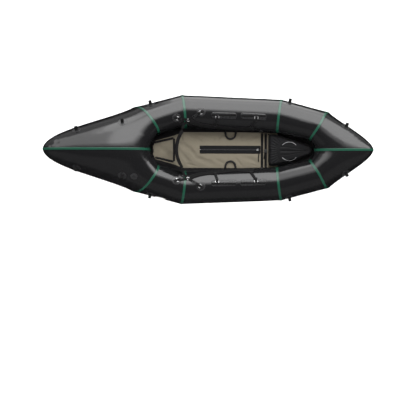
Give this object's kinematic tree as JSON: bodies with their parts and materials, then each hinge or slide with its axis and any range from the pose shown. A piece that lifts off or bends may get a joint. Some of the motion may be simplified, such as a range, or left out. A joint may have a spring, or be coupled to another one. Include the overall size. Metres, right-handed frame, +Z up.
{
  "type": "inflatable kayak",
  "caption": "Inflatable kayak with pointed stern and upturned bow, welded tube hull, inflated floor mat, backband, thigh straps, foot cushion and skeg.",
  "frame": {"origin": "on the ground under the middle of the hull's box, at the underside of the bottom sheet", "axes": "+X towards the bow, +Y to port, +Z up"},
  "size_m": [2.7566, 0.9176, 0.4339],
  "materials": {
    "hull_fabric": "glossy coated nylon",
    "seam_tape": "satin coated tape",
    "mat_fabric": "matt coated polyester",
    "edge_binding": "woven polyester binding",
    "webbing": "woven nylon webbing",
    "strap_pad": "foam laminate",
    "lace": "braided cord",
    "patch_fabric": "satin coated nylon",
    "cushion_fabric": "satin coated nylon",
    "welt": "shiny welded rim",
    "metal": "polished stainless steel",
    "plastic": "moulded acetal",
    "valve_strap": "soft rubber",
    "badge": "plain white, printed"
  },
  "bodies": {
    "root": {"stern_panel_port": "hull_fabric", "stern_panel_starboard": "hull_fabric", "aft_tube_port": "hull_fabric", "aft_tube_starboard": "hull_fabric", "mid_tube_port": "hull_fabric", "mid_tube_starboard": "hull_fabric", "fore_tube_port": "hull_fabric", "fore_tube_starboard": "hull_fabric", "bow_panel_port": "hull_fabric", "bow_panel_starboard": "hull_fabric", "seam_tapes_port": "seam_tape", "seam_tapes_starboard": "seam_tape", "stern_centre_tape": "seam_tape", "bow_centre_tape": "seam_tape", "bottom_sheet": "hull_fabric", "floor_mat": "mat_fabric", "mat_edge_bands": "edge_binding", "mat_hand_loops": "webbing", "mat_lacing": "lace", "mat_eyelets": "metal", "zip_tape": "edge_binding", "zip_coil": "plastic", "zip_end_stop": "metal", "backband_straps": "webbing", "side_straps_port": "webbing", "side_straps_starboard": "webbing", "strap_junction_rings": "metal", "ladder_locks": "plastic", "round_patches": "patch_fabric", "ring_keepers": "webbing", "daisy_patches": "patch_fabric", "tie_down_loops": "webbing", "foot_cushion": "cushion_fabric", "cushion_welt": "welt", "cushion_centre_panel": "cushion_fabric", "cross_straps": "webbing", "cam_buckle_frame": "plastic", "valve_body": "plastic", "valve_tether": "valve_strap", "skeg_base": "plastic", "hull_badge": "badge"},
    "ring_hip_port": {"ring_hip_port": "metal"},
    "ring_hip_starboard": {"ring_hip_starboard": "metal"},
    "ring_back_port": {"ring_back_port": "metal"},
    "ring_back_starboard": {"ring_back_starboard": "metal"},
    "ring_mid_port": {"ring_mid_port": "metal"},
    "ring_mid_starboard": {"ring_mid_starboard": "metal"},
    "ring_fore_port": {"ring_fore_port": "metal"},
    "ring_fore_starboard": {"ring_fore_starboard": "metal"},
    "thigh_strap_port": {"thigh_strap_port": "strap_pad"},
    "thigh_strap_starboard": {"thigh_strap_starboard": "strap_pad"},
    "backband": {"backband_pad": "strap_pad"},
    "zip_slider": {"zip_slider": "metal"},
    "zip_pull": {"zip_pull": "metal"},
    "cam_lever": {"cam_buckle_lever": "plastic"},
    "valve_cap": {"valve_cap": "plastic"},
    "valve_flap": {"valve_flap": "plastic"},
    "skeg": {"skeg": "plastic"}
  },
  "joints": [
    {"name": "ring_hip_port_hinge", "type": "hinge", "parent": "root", "child": "ring_hip_port", "pos_m": [-0.05506, 0.30992, 0.28999], "axis": [-0.5, 0.866, 0.0089], "range_deg": [-5, 5]},
    {"name": "ring_hip_starboard_hinge", "type": "hinge", "parent": "root", "child": "ring_hip_starboard", "pos_m": [-0.05506, -0.30992, 0.28999], "axis": [-0.5, -0.866, 0.0089], "range_deg": [-5, 5]},
    {"name": "ring_back_port_hinge", "type": "hinge", "parent": "root", "child": "ring_back_port", "pos_m": [-0.25791, 0.25802, 0.29669], "axis": [-0.3168, -0.9353, -0.1577], "range_deg": [-5, 5]},
    {"name": "ring_back_starboard_hinge", "type": "hinge", "parent": "root", "child": "ring_back_starboard", "pos_m": [-0.25791, -0.25802, 0.29669], "axis": [-0.3168, 0.9353, -0.1577], "range_deg": [-5, 5]},
    {"name": "ring_mid_port_hinge", "type": "hinge", "parent": "root", "child": "ring_mid_port", "pos_m": [0.07983, 0.27666, 0.28714], "axis": [-1, 0.0017, -0.0085], "range_deg": [-5, 5]},
    {"name": "ring_mid_starboard_hinge", "type": "hinge", "parent": "root", "child": "ring_mid_starboard", "pos_m": [0.07983, -0.27666, 0.28714], "axis": [-1, -0.0017, -0.0085], "range_deg": [-5, 5]},
    {"name": "ring_fore_port_hinge", "type": "hinge", "parent": "root", "child": "ring_fore_port", "pos_m": [0.40413, 0.2709, 0.2886], "axis": [-1, 0.0008, -0.006], "range_deg": [-5, 5]},
    {"name": "ring_fore_starboard_hinge", "type": "hinge", "parent": "root", "child": "ring_fore_starboard", "pos_m": [0.40413, -0.2709, 0.2886], "axis": [-1, -0.0008, -0.006], "range_deg": [-5, 5]},
    {"name": "thigh_strap_port_swing", "type": "hinge", "parent": "root", "child": "thigh_strap_port", "pos_m": [0.24198, 0.25801, 0.28521], "axis": [-0.9998, 0.0183, -0.0074], "range_deg": [0, 22]},
    {"name": "thigh_strap_starboard_swing", "type": "hinge", "parent": "root", "child": "thigh_strap_starboard", "pos_m": [0.24198, -0.25801, 0.28521], "axis": [0.9998, 0.0183, 0.0074], "range_deg": [0, 22]},
    {"name": "backband_tilt", "type": "hinge", "parent": "root", "child": "backband", "pos_m": [-0.212, 0, 0.262], "axis": [0, 1, 0], "range_deg": [-10, 10]},
    {"name": "zip_slide", "type": "slide", "parent": "root", "child": "zip_slider", "axis": [-1, 0, 0], "range_m": [0, 0.468]},
    {"name": "zip_pull_hinge", "type": "hinge", "parent": "zip_slider", "child": "zip_pull", "pos_m": [0.421, 0.004, 0.072], "axis": [0, -1, 0], "range_deg": [0, 160]},
    {"name": "cam_lever_hinge", "type": "hinge", "parent": "root", "child": "cam_lever", "pos_m": [0.488, -0.01, 0.0732], "axis": [1, 0, 0], "range_deg": [0, 70]},
    {"name": "valve_cap_pull", "type": "slide", "parent": "root", "child": "valve_cap", "axis": [-0.0296, -0.4974, 0.867], "range_m": [0, 0.03]},
    {"name": "valve_flap_open", "type": "slide", "parent": "root", "child": "valve_flap", "axis": [0.0296, 0.4974, -0.867], "range_m": [0, 0.0025], "stiffness_N_per_m": 60, "springref_m": -0.002},
    {"name": "skeg_slide", "type": "slide", "parent": "root", "child": "skeg", "axis": [-0.962, 0, 0.2729], "range_m": [0, 0.05]}
  ]
}
